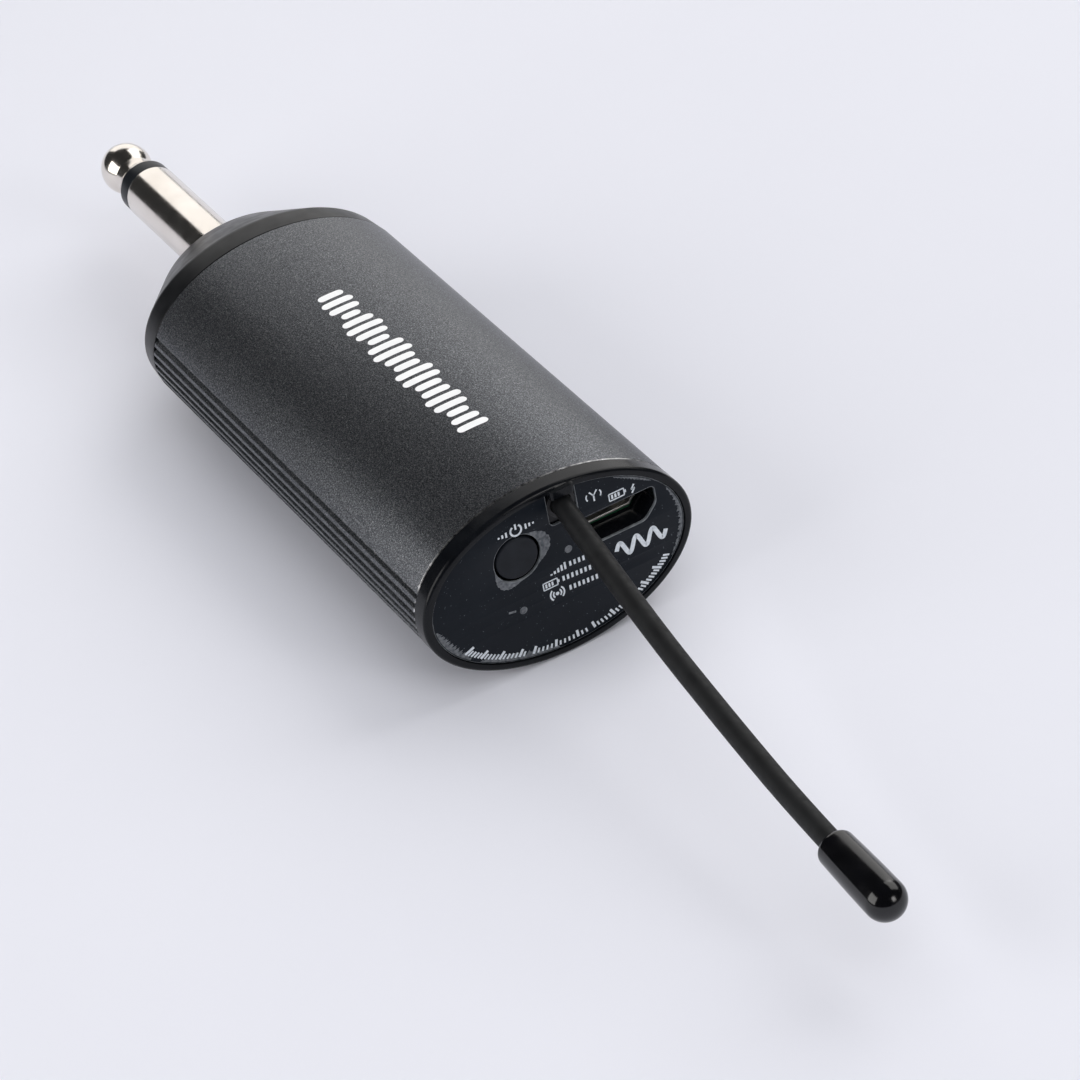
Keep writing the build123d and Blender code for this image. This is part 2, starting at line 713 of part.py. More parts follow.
def sleeve_lead():
    """The lead from the sleeve's lug to the board."""
    return lug_lead(LUG_X + LUG_THICK, SLEEVE_LUG_REACH - LUG_TAIL_HALF, ROD_END + 3, 2.4)


PARTS = {
    "housing_tube": housing_tube,
    "front_collar": front_collar,
    "plug_sleeve": plug_sleeve,
    "plug_ring_insulator": plug_ring_insulator,
    "plug_core_insulator": plug_core_insulator,
    "plug_tip": plug_tip,
    "plug_sleeve_lug": plug_sleeve_lug,
    "plug_lock_washer": plug_lock_washer,
    "plug_nut": plug_nut,
    "plug_tip_lug": plug_tip_lug,
    "rear_cap": rear_cap,
    "label_plate": label_plate,
    "power_button": power_button,
    "switch_plunger": switch_plunger,
    "tact_switch": tact_switch,
    "channel_indicator": lambda: indicator("channel_indicator"),
    "power_indicator": lambda: indicator("power_indicator"),
    "signal_indicator": lambda: indicator("signal_indicator"),
    "rear_cap_screws": rear_cap_screws,
    "antenna_grommet": antenna_grommet,
    "antenna_feed": antenna_feed,
    "antenna_sleeve": antenna_sleeve,
    "antenna_core": antenna_core,
    "antenna_tip_cap": antenna_tip_cap,
    "main_board": main_board,
    "usb_socket_shell": usb_socket_shell,
    "usb_socket_tongue": usb_socket_tongue,
    "rf_shield_can": rf_shield_can,
    "board_chips": board_chips,
    "battery_cell": battery_cell,
    "battery_pad": battery_pad,
    "battery_lead_positive": lambda: battery_lead(5.2),
    "battery_lead_negative": lambda: battery_lead(-5.2),
    "tip_lead": tip_lead,
    "sleeve_lead": sleeve_lead,
}


os.makedirs("parts", exist_ok=True)
for name, make in PARTS.items():
    shape = make()
    export_step(shape, f"parts/{name}.step")
    print(name, len(shape.solids()), round(sum(s.volume for s in shape.solids()), 2))
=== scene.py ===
"""Looks of the plug-in wireless transmitter: materials, detailed skins for what shows, lights and camera.

Lengths in the script are millimetres in the part's own frame, and to_metres() turns them into
Blender's metres. +X runs from the plug to the antenna, +Y to the right of the rear face and +Z up.
"""
import math

import bmesh
import bpy
import numpy as np
from mathutils import Matrix, Vector


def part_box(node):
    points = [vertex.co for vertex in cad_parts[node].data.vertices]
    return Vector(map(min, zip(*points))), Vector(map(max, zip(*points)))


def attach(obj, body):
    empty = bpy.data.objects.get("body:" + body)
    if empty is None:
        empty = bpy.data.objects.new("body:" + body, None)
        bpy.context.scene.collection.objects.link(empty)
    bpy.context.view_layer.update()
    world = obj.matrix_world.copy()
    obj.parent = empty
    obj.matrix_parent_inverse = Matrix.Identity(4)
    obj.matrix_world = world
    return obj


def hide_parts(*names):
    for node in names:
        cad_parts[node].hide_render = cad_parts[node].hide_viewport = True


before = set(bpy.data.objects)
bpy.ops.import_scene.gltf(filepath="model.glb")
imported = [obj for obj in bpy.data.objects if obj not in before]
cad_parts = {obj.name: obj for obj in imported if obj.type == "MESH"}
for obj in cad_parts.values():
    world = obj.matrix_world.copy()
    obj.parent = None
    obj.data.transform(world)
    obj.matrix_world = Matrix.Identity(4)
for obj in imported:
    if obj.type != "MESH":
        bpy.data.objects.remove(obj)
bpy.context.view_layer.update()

MM = 0.001


def node_box(name):
    """The low and high corners of a CAD node, in millimetres."""
    low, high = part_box(name)
    return low / MM, high / MM


# ---------------------------------------------------------------- sizes, from the frame
tube_low, tube_high = node_box("housing_tube")
TUBE_START = tube_low.x
TUBE_END = tube_high.x
TUBE_Y = 15.27
TUBE_Z = tube_high.z
TUBE_WALL = 1.5
GROOVE_COUNT = 7
GROOVE_PITCH = 1.0
GROOVE_DEPTH = 0.38
GROOVE_HALF_TOP = 0.34
GROOVE_HALF_FLOOR = 0.10

collar_low, collar_high = node_box("front_collar")
NOSE_X = collar_low.x
NOSE_Y, NOSE_Z = 9.55, 6.83
BAND_Y, BAND_Z = 14.95, 9.8
BAND_LENGTH = 3.0
CONE_END = TUBE_START - BAND_LENGTH
SHANK_HOLE_R = 3.55
SPIGOT_END = collar_high.x

plate_low, plate_high = node_box("label_plate")
SEAT_X = plate_low.x
PLATE_X = plate_high.x
PLATE_Y = plate_high.y
PLATE_Z = -plate_low.z
PLATE_BEVEL = 0.09
LIGHT_HOLE_R = 0.5
cap_low, _ = node_box("rear_cap")

key_low, key_high = node_box("power_button")
BUTTON_Y = (key_low.y + key_high.y) / 2
BUTTON_Z = (key_low.z + key_high.z) / 2
BUTTON_R = 2.35
BUTTON_HOLE_R = 2.6
BUTTON_FLANGE_R = 3.0
BUTTON_FLANGE = 0.6
SOCKET_Y = 7.35
SOCKET_Z = 2.75
INDICATORS = ("channel_indicator", "power_indicator", "signal_indicator")

PLUG_R = 3.175
WHIP_R = 1.13
ROOT_SLIM = 0.06
ROOT_TAPER = 4.0
WHIP_ROUTE = [(72.6, 1.55, 7.3), (90.0, -0.05, 4.45), (107.0, -0.85, 1.75), (121.0, -1.6, 0.4)]
WHIP_TIP = (134.1, -2.0, -0.1)
TIP_CAP_LENGTH = 8.7
TIP_CAP_R = 2.08
TIP_CAP_BACK_R = 1.92
FLOOR_Z = min(cap_low.z, collar_low.z)


# ---------------------------------------------------------------- material kit
def new_material(name, colour, roughness, metallic=0.0, **sockets):
    """A principled material with its constant values set on the shader's own sockets."""
    material = bpy.data.materials.new(name)
    material.use_nodes = True
    shader = material.node_tree.nodes["Principled BSDF"]
    shader.inputs["Base Color"].default_value = (*colour, 1.0)
    shader.inputs["Roughness"].default_value = roughness
    shader.inputs["Metallic"].default_value = metallic
    for socket, value in sockets.items():
        shader.inputs[socket.replace("_", " ")].default_value = value
    return material


def node(material, kind, **values):
    made = material.node_tree.nodes.new(kind)
    for name, value in values.items():
        if name in made.bl_rna.properties:
            setattr(made, name, value)
        else:
            made.inputs[name.replace("_", " ")].default_value = value
    return made


def link(material, source, target):
    material.node_tree.links.new(source, target)


def coordinates(material):
    """Positions in metres, fixed to the object."""
    return node(material, "ShaderNodeTexCoord").outputs["Object"]


def noise(material, size_mm, detail=2.0, roughness=0.5):
    """A noise whose features are about size_mm across."""
    scale = 1 / (size_mm * MM)
    made = node(material, "ShaderNodeTexNoise", Scale=scale, Detail=detail, Roughness=roughness)
    link(material, coordinates(material), made.inputs["Vector"])
    return made.outputs["Fac"]


def ramp(material, factor, stops):
    """A colour ramp through (position, colour) stops."""
    made = node(material, "ShaderNodeValToRGB")
    elements = made.color_ramp.elements
    while len(elements) < len(stops):
        elements.new(0.5)
    for element, (position, colour) in zip(elements, stops):
        element.position = position
        element.color = (*colour, 1.0)
    link(material, factor, made.inputs["Fac"])
    return made.outputs["Color"]


def spread(material, factor, low, high, from_low=0.3, from_high=0.7):
    """A number that follows a factor between two values."""
    made = node(material, "ShaderNodeMapRange")
    made.inputs["From Min"].default_value = from_low
    made.inputs["From Max"].default_value = from_high
    made.inputs["To Min"].default_value = low
    made.inputs["To Max"].default_value = high
    link(material, factor, made.inputs["Value"])
    return made.outputs["Result"]


def shader_input(material, name):
    return material.node_tree.nodes["Principled BSDF"].inputs[name]


def add_bump(material, height, distance_mm, strength=1.0):
    bump = node(material, "ShaderNodeBump", Strength=strength)
    bump.inputs["Distance"].default_value = distance_mm * MM
    link(material, height, bump.inputs["Height"])
    link(material, bump.outputs["Normal"], shader_input(material, "Normal"))


def vary_colour(material, size_mm, dark, light, detail=3.0):
    colour = ramp(material, noise(material, size_mm, detail), [(0.3, dark), (0.7, light)])
    link(material, colour, shader_input(material, "Base Color"))


def vary_roughness(material, size_mm, low, high):
    roughness = spread(material, noise(material, size_mm, 3.0), low, high)
    link(material, roughness, shader_input(material, "Roughness"))


# ---------------------------------------------------------------- materials
def anodised_tube():
    """Sand-blasted, anodised aluminium: a fine dark grain with sparse bright grains."""
    material = new_material("anodised_tube", (0.1, 0.1, 0.11), 0.4, metallic=0.85)
    grain = noise(material, 0.14, 3.0, 0.75)
    base = ramp(material, grain, [(0.32, (0.021, 0.023, 0.027)), (0.51, (0.088, 0.093, 0.103)),
                                  (0.70, (0.31, 0.32, 0.34))])
    sparkle = node(material, "ShaderNodeTexVoronoi", Scale=1 / (0.26 * MM))
    link(material, coordinates(material), sparkle.inputs["Vector"])
    glints = ramp(material, sparkle.outputs["Distance"], [(0.08, (1, 1, 1)), (0.17, (0, 0, 0))])
    rarity = ramp(material, noise(material, 0.7, 1.0), [(0.57, (0, 0, 0)), (0.63, (1, 1, 1))])
    chosen = node(material, "ShaderNodeMix", data_type="RGBA", blend_type="MULTIPLY")
    chosen.inputs["Factor"].default_value = 1.0
    link(material, glints, chosen.inputs["A"])
    link(material, rarity, chosen.inputs["B"])
    mixed = node(material, "ShaderNodeMix", data_type="RGBA", blend_type="MIX")
    link(material, chosen.outputs["Result"], mixed.inputs["Factor"])
    link(material, base, mixed.inputs["A"])
    mixed.inputs["B"].default_value = (0.55, 0.55, 0.56, 1.0)
    link(material, mixed.outputs["Result"], shader_input(material, "Base Color"))
    link(material, spread(material, grain, 0.30, 0.44), shader_input(material, "Roughness"))
    add_bump(material, grain, 0.02, 0.6)
    return material


def machined_edge():
    """Bare aluminium where the tube's end was cut after anodising."""
    material = new_material("machined_edge", (0.42, 0.42, 0.43), 0.34, metallic=1.0)
    worn = noise(material, 0.7, 3.0, 0.6)
    base = ramp(material, worn, [(0.35, (0.10, 0.10, 0.105)), (0.65, (0.62, 0.62, 0.63))])
    link(material, base, shader_input(material, "Base Color"))
    vary_roughness(material, 0.4, 0.24, 0.45)
    return material


def moulded_black(name, colour, low_roughness, high_roughness, grain_mm=0.25, bump_mm=0.004, gloss=0.4):
    """Black moulded plastic: even colour, a slight grain and uneven gloss."""
    material = new_material(name, colour, low_roughness, Specular_IOR_Level=gloss)
    light = tuple(c * 1.5 + 0.002 for c in colour)
    vary_colour(material, 2.5, colour, light)
    vary_roughness(material, 1.6, low_roughness, high_roughness)
    add_bump(material, noise(material, grain_mm, 2.0), bump_mm, 0.5)
    return material


def label_film():
    """Blue-black printed film, satin, with faint rubbed patches and dust."""
    material = new_material("label_film", (0.008, 0.011, 0.016), 0.34, Specular_IOR_Level=0.14)
    patches = noise(material, 3.2, 4.0, 0.6)
    specks = noise(material, 0.22, 1.0)
    base = ramp(material, patches, [(0.35, (0.0045, 0.0068, 0.0108)), (0.75, (0.0068, 0.0096, 0.0142))])
    dust = ramp(material, specks, [(0.73, (0, 0, 0)), (0.80, (0.09, 0.10, 0.11))])
    summed = node(material, "ShaderNodeMix", data_type="RGBA", blend_type="ADD")
    summed.inputs["Factor"].default_value = 1.0
    link(material, base, summed.inputs["A"])
    link(material, dust, summed.inputs["B"])
    link(material, summed.outputs["Result"], shader_input(material, "Base Color"))
    link(material, spread(material, patches, 0.30, 0.42), shader_input(material, "Roughness"))
    add_bump(material, noise(material, 0.5, 2.0), 0.002, 0.4)
    return material


def film_edge_painted_highlight():
    """The pale cut edge of the film, its paleness a painted edge highlight, with dried adhesive along
    parts of it.
    """
    material = new_material("film_edge_painted_highlight", (0.16, 0.17, 0.18), 0.5)
    vary_colour(material, 0.8, (0.06, 0.068, 0.075), (0.22, 0.235, 0.25))
    return material


def adhesive_film():
    """Dried grey adhesive smeared on the label."""
    material = new_material("adhesive_film", (0.11, 0.12, 0.13), 0.55)
    vary_colour(material, 0.35, (0.035, 0.042, 0.05), (0.17, 0.18, 0.195), 4.0)
    add_bump(material, noise(material, 0.3, 3.0), 0.03, 0.6)
    return material


def print_ink():
    material = new_material("print_ink", (0.62, 0.66, 0.70), 0.45)
    vary_colour(material, 0.3, (0.55, 0.60, 0.65), (0.74, 0.78, 0.82))
    return material


def tube_ink():
    material = new_material("tube_ink", (0.93, 0.94, 0.95), 0.4)
    vary_colour(material, 1.5, (0.90, 0.91, 0.92), (0.97, 0.97, 0.98))
    return material


def polished_nickel():
    """Nickel plate with faint scuffs along the barrel."""
    material = new_material("polished_nickel", (0.77, 0.72, 0.67), 0.16, metallic=1.0)
    vary_colour(material, 4.0, (0.73, 0.68, 0.625), (0.80, 0.755, 0.705))
    vary_roughness(material, 1.2, 0.13, 0.21)
    add_bump(material, noise(material, 0.6, 3.0), 0.002, 0.3)
    return material


def antenna_rubber():
    """Matte rubber with a fine extruded grain."""
    material = new_material("antenna_rubber", (0.009, 0.0095, 0.0105), 0.55, Specular_IOR_Level=0.25)
    vary_colour(material, 1.4, (0.0052, 0.0056, 0.0064), (0.010, 0.0105, 0.0115), 4.0)
    vary_roughness(material, 0.7, 0.48, 0.66)
    add_bump(material, noise(material, 0.18, 3.0), 0.012, 0.6)
    return material


def glossy_vinyl():
    """Dipped vinyl: deep gloss with a faint waviness."""
    material = new_material("glossy_vinyl", (0.004, 0.004, 0.0055), 0.10, IOR=1.52)
    vary_colour(material, 2.0, (0.0014, 0.0014, 0.002), (0.003, 0.003, 0.0042))
    vary_roughness(material, 1.5, 0.09, 0.2)
    add_bump(material, noise(material, 1.8, 1.0), 0.02, 0.3)
    return material


def plain_metal(name, colour, roughness):
    material = new_material(name, colour, roughness, metallic=1.0)
    vary_roughness(material, 0.8, roughness * 0.75, roughness * 1.3)
    return material


def light_pipe():
    material = new_material("light_pipe", (0.55, 0.58, 0.6), 0.15, Transmission_Weight=0.6)
    vary_roughness(material, 0.6, 0.1, 0.2)
    return material


def solder_mask():
    material = new_material("solder_mask", (0.012, 0.08, 0.035), 0.35)
    vary_colour(material, 2.0, (0.010, 0.065, 0.028), (0.016, 0.095, 0.042))
    return material


def cell_foil():
    material = new_material("cell_foil", (0.6, 0.61, 0.63), 0.3, metallic=0.9)
    add_bump(material, noise(material, 2.0, 3.0), 0.05, 0.5)
    return material


def insulation(name, colour):
    material = new_material(name, colour, 0.45)
    vary_colour(material, 1.0, tuple(c * 0.85 for c in colour), colour)
    return material


tube_finish = anodised_tube()
edge_finish = machined_edge()
collar_finish = moulded_black("collar_plastic", (0.005, 0.0053, 0.0062), 0.28, 0.40, gloss=0.25)
rim_finish = moulded_black("rim_plastic", (0.0024, 0.003, 0.0042), 0.16, 0.26, gloss=0.2)
key_finish = moulded_black("key_plastic", (0.006, 0.0075, 0.0105), 0.34, 0.44, gloss=0.18)
ring_finish = moulded_black("ring_nylon", (0.006, 0.0075, 0.010), 0.30, 0.40, gloss=0.25)
switch_finish = moulded_black("switch_plastic", (0.015, 0.015, 0.016), 0.3, 0.4)
grommet_finish = moulded_black("grommet_rubber", (0.010, 0.010, 0.011), 0.5, 0.65)
foam_finish = moulded_black("foam_tape", (0.03, 0.03, 0.03), 0.8, 0.9, 0.3, 0.1)
film_finish = label_film()
film_edge_highlight_finish = film_edge_painted_highlight()
adhesive_finish = adhesive_film()
ink_finish = print_ink()
tube_ink_finish = tube_ink()
nickel_finish = polished_nickel()
rubber_finish = antenna_rubber()
vinyl_finish = glossy_vinyl()
brass_finish = plain_metal("tinned_brass", (0.62, 0.58, 0.45), 0.3)
steel_finish = plain_metal("zinc_steel", (0.6, 0.61, 0.63), 0.32)
socket_finish = plain_metal("socket_steel", (0.82, 0.80, 0.76), 0.38)
wire_finish = plain_metal("spring_wire", (0.5, 0.5, 0.5), 0.35)

NODE_FINISHES = {
    "plug_core_insulator": insulation("white_nylon", (0.75, 0.74, 0.70)),
    "plug_sleeve_lug": brass_finish,
    "plug_tip_lug": brass_finish,
    "plug_lock_washer": steel_finish,
    "plug_nut": nickel_finish,
    "rear_cap": rim_finish,
    "switch_plunger": switch_finish,
    "tact_switch": switch_finish,
    "rear_cap_screws": steel_finish,
    "antenna_grommet": grommet_finish,
    "antenna_feed": insulation("feed_insulation", (0.02, 0.02, 0.02)),
    "antenna_core": wire_finish,
    "main_board": solder_mask(),
    "usb_socket_shell": socket_finish,
    "usb_socket_tongue": switch_finish,
    "rf_shield_can": socket_finish,
    "board_chips": switch_finish,
    "battery_cell": cell_foil(),
    "battery_pad": foam_finish,
    "battery_lead_positive": insulation("red_insulation", (0.45, 0.02, 0.02)),
    "battery_lead_negative": insulation("black_insulation", (0.02, 0.02, 0.02)),
    "tip_lead": insulation("white_insulation", (0.7, 0.7, 0.68)),
    "sleeve_lead": insulation("dark_insulation", (0.02, 0.02, 0.022)),
}
pipe_finish = light_pipe()
for window in INDICATORS:
    NODE_FINISHES[window] = pipe_finish


def dress_node(name, material):
    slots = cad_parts[name].data.materials
    slots.clear()
    slots.append(material)


for node_name, finish in NODE_FINISHES.items():
    dress_node(node_name, finish)


def soften_edges(name, width_mm):
    """Rounds a CAD node's sharp edges, once its faces are joined along them."""
    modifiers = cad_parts[name].modifiers
    weld = modifiers.new("joined_faces", "WELD")
    weld.merge_threshold = 1e-6
    bevel = modifiers.new("soft_edges", "BEVEL")
    bevel.width = width_mm * MM
    bevel.segments = 3
    bevel.limit_method = "ANGLE"
    bevel.angle_limit = math.radians(40)
    modifiers.new("even_normals", "WEIGHTED_NORMAL")


soften_edges("usb_socket_shell", 0.05)
soften_edges("rear_cap", 0.16)


# ---------------------------------------------------------------- mesh kit
def to_metres(points):
    return [Vector(p) * MM for p in points]


def finish_mesh(mesh, sharp_degrees):
    """Smooth shading, split where faces meet at more than an angle, and outward normals."""
    made = bmesh.new()
    made.from_mesh(mesh)
    bmesh.ops.recalc_face_normals(made, faces=made.faces)
    made.to_mesh(mesh)
    made.free()
    mesh.shade_smooth()
    mesh.set_sharp_from_angle(angle=math.radians(sharp_degrees))


def weld(mesh):
    """Joins points that coincide, and turns the faces outwards."""
    made = bmesh.new()
    made.from_mesh(mesh)
    bmesh.ops.remove_doubles(made, verts=made.verts, dist=1e-7)
    bmesh.ops.recalc_face_normals(made, faces=made.faces)
    made.to_mesh(mesh)
    made.free()


def add_piece(name, mesh, body, materials, replaces=()):
    """Puts a mesh in the scene as a piece on a body."""
    piece = bpy.data.objects.new(name, mesh)
    bpy.context.scene.collection.objects.link(piece)
    for material in materials:
        mesh.materials.append(material)
    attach(piece, body)
    if replaces:
        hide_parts(*replaces)


def soften(points, cuts, steps=6):
    """Rounds each inner corner of a polyline, in any number of dimensions, back by its cut."""
    points = [np.array(p, float) for p in points]
    out = [points[0]]
    for before, corner, after, cut in zip(points, points[1:], points[2:], cuts):
        if cut <= 0:
            out.append(corner)
            continue
        start = corner + (before - corner) / np.linalg.norm(before - corner) * cut
        end = corner + (after - corner) / np.linalg.norm(after - corner) * cut
        for step in range(steps + 1):
            t = step / steps
            out.append(start * (1 - t) ** 2 + corner * 2 * t * (1 - t) + end * t ** 2)
    out.append(points[-1])
    return out


def ring_mesh(name, rings, closed):
    """Quads between rings of points. A closed mesh joins the last ring to the first, an open one
    is closed by a face over each end ring."""
    mesh = bpy.data.meshes.new(name)
    count = len(rings[0])
    points = [p for ring in rings for p in ring]
    faces = []
    spans = len(rings) if closed else len(rings) - 1
    for i in range(spans):
        a, b = i * count, (i + 1) % len(rings) * count
        for j in range(count):
            k = (j + 1) % count
            faces.append((a + j, a + k, b + k, b + j))
    if not closed:
        faces.append(tuple(range(count)))
        faces.append(tuple(range((len(rings) - 1) * count, len(rings) * count)))
    mesh.from_pydata(to_metres(points), [], faces)
    return mesh


def oval_rings(stations, segments=192):
    """Rings of points round the X axis for (x, half width, half height) stations."""
    rings = []
    for x, half_y, half_z in stations:
        angles = [2 * math.pi * j / segments for j in range(segments)]
        rings.append([(x, half_y * math.cos(a), half_z * math.sin(a)) for a in angles])
    return rings


# ---------------------------------------------------------------- tube
def groove_depth_at(z):
    """How deep the side of the tube is cut at a height."""
    nearest = round(z / GROOVE_PITCH)
    if abs(nearest) > (GROOVE_COUNT - 1) / 2:
        return 0.0
    away = abs(z - nearest * GROOVE_PITCH)
    t = (GROOVE_HALF_TOP - away) / (GROOVE_HALF_TOP - GROOVE_HALF_FLOOR)
    t = min(max(t, 0.0), 1.0)
    return GROOVE_DEPTH * t * t * (3 - 2 * t)


def tube_outline():
    """The tube's section as (y, z) points: two plain arcs and two grooved sides."""
    side_top = GROOVE_COUNT * GROOVE_PITCH / 2 + 0.1
    side_angle = math.asin(side_top / TUBE_Z)
    outline = []
    arc_steps = 110
    side_steps = 170
    for side in (1, -1):
        for i in range(side_steps):
            z = side * (-side_top + 2 * side_top * i / side_steps)
            y = TUBE_Y * math.sqrt(1 - (z / TUBE_Z) ** 2) - groove_depth_at(z)
            outline.append((side * y, z))
        for i in range(arc_steps):
            a = side_angle + (math.pi - 2 * side_angle) * i / arc_steps
            outline.append((side * TUBE_Y * math.cos(a), side * TUBE_Z * math.sin(a)))
    return np.array(outline)


def inset(outline, amount):
    """An outline moved inwards along its normals."""
    tangent = np.roll(outline, -1, 0) - np.roll(outline, 1, 0)
    normal = np.stack([tangent[:, 1], -tangent[:, 0]], 1)
    normal /= np.linalg.norm(normal, axis=1)[:, None]
    return outline - normal * amount


def make_tube():
    """The grooved tube, with slightly chamfered ends and a bare cut edge at the rear."""
    outline = tube_outline()
    bore = outline.copy()
    angles = np.arctan2(outline[:, 1] / TUBE_Z, outline[:, 0] / TUBE_Y)
    bore[:, 0] = (TUBE_Y - TUBE_WALL) * np.cos(angles)
    bore[:, 1] = (TUBE_Z - TUBE_WALL) * np.sin(angles)
    front = 0.10
    rear = 0.12
    stations = [
        (TUBE_START, inset(outline, front)),
        (TUBE_START + front * 0.4, inset(outline, front * 0.4)),
        (TUBE_START + front, outline),
        (TUBE_END - rear - 0.03, outline),
        (TUBE_END - rear, inset(outline, 0.01)),
        (TUBE_END, inset(outline, rear)),
        (TUBE_END, bore),
        (TUBE_START, bore),
    ]
    rings = [[(x, y, z) for y, z in ring] for x, ring in stations]
    mesh = ring_mesh("tube_skin", rings, closed=True)
    count = len(outline)
    for face in mesh.polygons:
        if face.index // count in (4, 5):
            face.material_index = 1
    finish_mesh(mesh, 30)
    add_piece("tube_skin", mesh, "housing", [tube_finish, edge_finish], ["housing_tube"])


# ---------------------------------------------------------------- collar
def make_collar():
    """The nose: a flat face, a cone, a band and the spigot inside the tube."""
    wall = 1.8
    floor_x = NOSE_X + 2.3
    spigot_y = TUBE_Y - TUBE_WALL - 0.05
    spigot_z = TUBE_Z - TUBE_WALL - 0.05
    points = [
        (SPIGOT_END, spigot_y - 1.2, spigot_z - 1.2),
        (SPIGOT_END, spigot_y, spigot_z),
        (TUBE_START, spigot_y, spigot_z),
        (TUBE_START - 0.02, TUBE_Y - 0.02, TUBE_Z - 0.02),
        (CONE_END, BAND_Y, BAND_Z),
        (NOSE_X, NOSE_Y, NOSE_Z),
        (NOSE_X, SHANK_HOLE_R, SHANK_HOLE_R),
        (floor_x, SHANK_HOLE_R, SHANK_HOLE_R),
        (floor_x, NOSE_Y - wall, NOSE_Z - wall),
        (TUBE_START, spigot_y - 1.2, spigot_z - 1.2),
    ]
    stations = soften(points, [0.1, 0.0, 0.14, 0.32, 0.7, 0.15, 0.0, 0.0])
    mesh = ring_mesh("collar_skin", oval_rings(stations, 256), closed=True)
    finish_mesh(mesh, 40)
    add_piece("collar_skin", mesh, "housing", [collar_finish], ["front_collar"])


# ---------------------------------------------------------------- plug
def turned_piece(name, profile, segments, material, replaces, sharp=35):
    """A piece turned about the X axis from a closed (x, radius) profile."""
    rings = oval_rings([(x, r, r) for x, r in profile], segments)
    mesh = ring_mesh(name, rings, closed=True)
    finish_mesh(mesh, sharp)
    add_piece(name, mesh, "housing", [material], replaces)


def make_plug():
    """The barrel with its shoulder, the insulating ring and the tip."""
    sleeve_low, sleeve_high = node_box("plug_sleeve")
    ring_low, ring_high = node_box("plug_ring_insulator")
    tip_low, tip_high = node_box("plug_tip")
    bore = 1.95
    shoulder_r = sleeve_high.y
    barrel = soften([
        (sleeve_low.x, bore), (sleeve_low.x, PLUG_R), (-0.02, PLUG_R), (0.0, shoulder_r),
        (NOSE_X, shoulder_r), (NOSE_X, 3.5), (sleeve_high.x, 3.5), (sleeve_high.x, bore),
    ], [0.16, 0.12, 0.30, 0.1, 0.0, 0.1])
    turned_piece("plug_barrel", [tuple(p) for p in barrel], 128, nickel_finish, ["plug_sleeve"])
    ring = soften([
        (ring_high.x, 1.15), (ring_high.x, 3.13), (ring_low.x, 3.13), (ring_low.x, 1.15),
    ], [0.10, 0.14])
    turned_piece("plug_ring", [tuple(p) for p in ring], 128, ring_finish,
                 ["plug_ring_insulator"])
    make_tip(tip_low.x, ring_low.x, tip_high.x)


def make_tip(end_x, ring_x, rod_end):
    """The ball contact: a skirt against the ring, a waist and the ball with its blunt end."""
    rod_r = 1.1
    axis_r = 0.02
    skirt_x, skirt_r = ring_x - 0.55, 2.9
    waist_x, waist_r = ring_x - 1.75, 2.15
    ball_x, ball_r = end_x + 2.7, 2.95
    ball_start = math.radians(50)
    ball_end = math.radians(128)
    join_x = ball_x + ball_r * math.cos(ball_start)
    join_r = ball_r * math.sin(ball_start)
    profile = [(ring_x, rod_r), (ring_x, 3.0), (ring_x - 0.12, 3.03), (skirt_x, skirt_r)]
    for step in range(1, 9):
        t = step / 9
        x = skirt_x + (waist_x - skirt_x) * t
        profile.append((x, skirt_r + (waist_r - skirt_r) * math.sin(t * math.pi / 2)))
    for step in range(8):
        t = step / 8
        x = waist_x + (join_x - waist_x) * t
        profile.append((x, waist_r + (join_r - waist_r) * (1 - math.cos(t * math.pi / 2))))
    for step in range(25):
        a = ball_start + (ball_end - ball_start) * step / 24
        profile.append((ball_x + ball_r * math.cos(a), ball_r * math.sin(a)))
    last_x, last_r = profile[-1]
    for step in range(1, 13):
        a = math.pi / 2 * step / 12
        profile.append((last_x + (end_x - last_x) * math.sin(a) ** 1.1, last_r * math.cos(a)))
    profile = [(x, max(r, axis_r)) for x, r in profile]
    profile += [(rod_end, axis_r), (rod_end, rod_r)]
    turned_piece("plug_ball", profile, 128, nickel_finish, ["plug_tip"], sharp=45)


# ---------------------------------------------------------------- label plate
def arc_points(centre, radius, start, end, steps):
    """Points along an arc in the (y, z) plane, angles in degrees."""
    out = []
    for i in range(steps + 1):
        a = math.radians(start + (end - start) * i / steps)
        out.append((centre[0] + radius * math.cos(a), centre[1] + radius * math.sin(a)))
    return out


def plate_outline():
    """The plate's oval edge with the slot that lets the antenna through."""
    notch_low = 5.3
    notch_half = 1.6
    middle = WHIP_ROUTE[0][1]
    right = middle + notch_half
    left = middle - notch_half
    start = math.acos(left / PLATE_Y)
    end = math.acos(right / PLATE_Y) + 2 * math.pi
    outline = []
    for i in range(241):
        a = start + (end - start) * i / 240
        outline.append((PLATE_Y * math.cos(a), PLATE_Z * math.sin(a)))
    outline.append((right, notch_low + 0.5))
    outline += arc_points((right - 0.5, notch_low + 0.5), 0.5, 0, -90, 6)[1:]
    outline += arc_points((left + 0.5, notch_low + 0.5), 0.5, -90, -180, 6)
    return outline


def port_outline(grow=0.0):
    """The charging cut-out: square above, with its lower corners cut off."""
    half_w = 8.5 / 2 + grow
    half_h = 3.5 / 2 + grow
    cut = 1.5
    corners = [(-half_w, half_h), (half_w, half_h), (half_w, cut - half_h), (half_w - cut, -half_h),
               (cut - half_w, -half_h), (-half_w, cut - half_h)]
    looped = [corners[-1]] + corners + [corners[0]]
    rounded = soften(looped, [0.55] * 6)[1:-1]
    return [(SOCKET_Y + p[0], SOCKET_Z + p[1]) for p in rounded]


